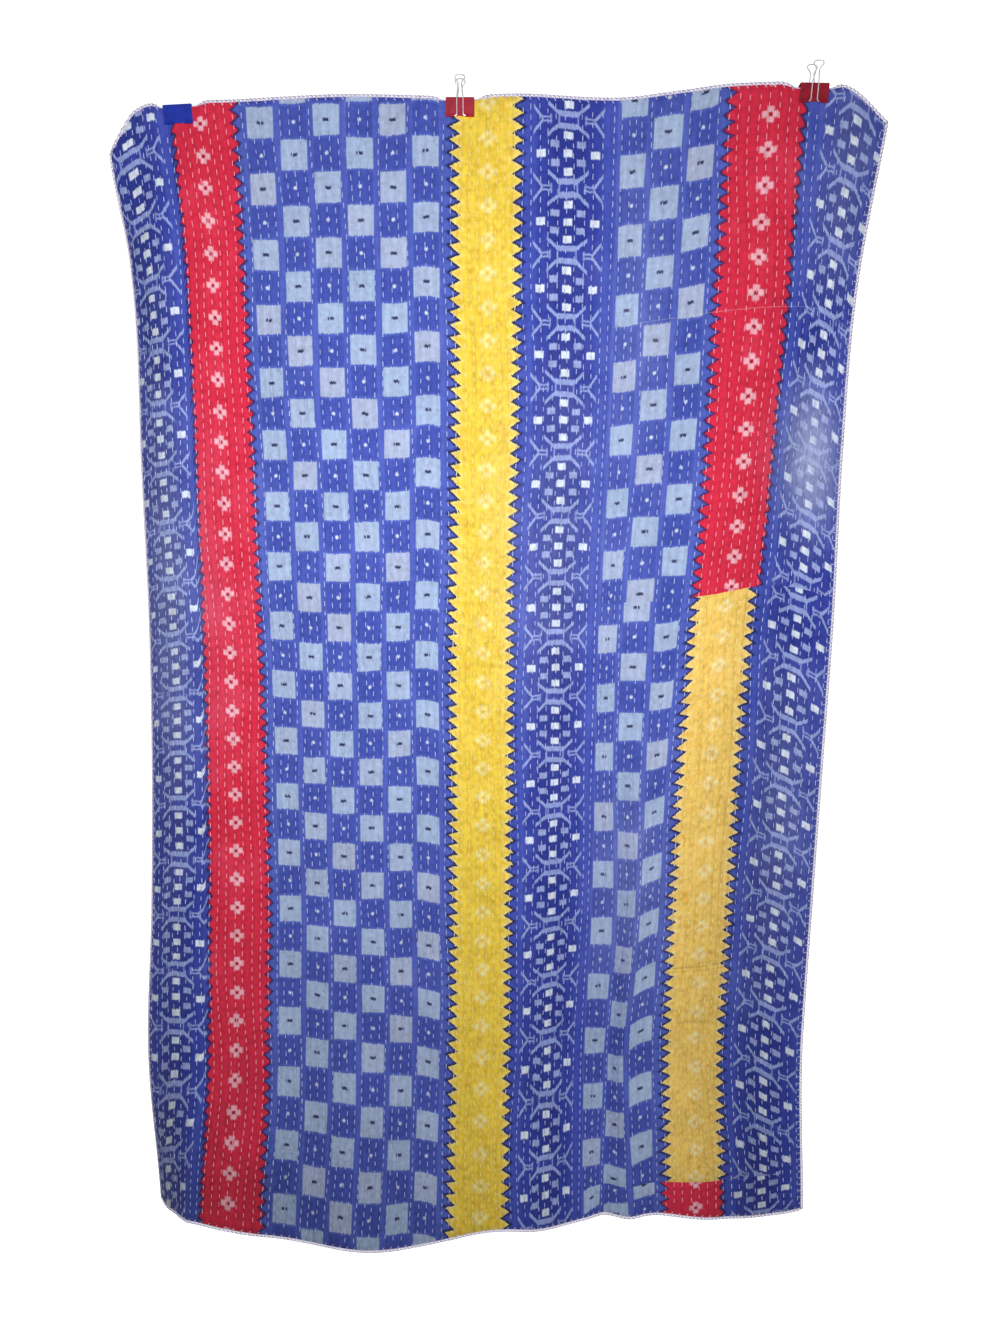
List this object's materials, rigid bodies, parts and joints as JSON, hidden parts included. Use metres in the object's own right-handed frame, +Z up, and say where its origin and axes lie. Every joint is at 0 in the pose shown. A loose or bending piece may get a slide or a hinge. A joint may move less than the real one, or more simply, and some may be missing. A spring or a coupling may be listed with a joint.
{
  "type": "kantha quilt hung from binder clips",
  "caption": "Hand-stitched patchwork quilt of printed cotton, hanging by its top edge from sprung binder clips with wire loops.",
  "frame": {"origin": "inside top of the middle clip's two wire loops, where the piece hangs", "axes": "+Z up along the hang, -Y out of the quilt's face, +X to the viewer's right when facing it"},
  "size_m": [1.4009, 0.1738, 2.1996],
  "materials": {
    "quilted_cotton": "soft woven cotton with rows of running stitch",
    "blue_enamel": "smooth enamel",
    "red_enamel": "smooth enamel",
    "dark_red_enamel": "smooth enamel",
    "bright_wire": "bright drawn wire"
  },
  "bodies": {
    "root": {"quilt": "quilted_cotton", "left_clip_body": "blue_enamel", "middle_clip_body": "red_enamel", "right_clip_body": "dark_red_enamel", "middle_clip_front_handle": "bright_wire", "middle_clip_back_handle": "bright_wire", "right_clip_front_handle": "bright_wire", "right_clip_back_handle": "bright_wire"}
  },
  "joints": []
}
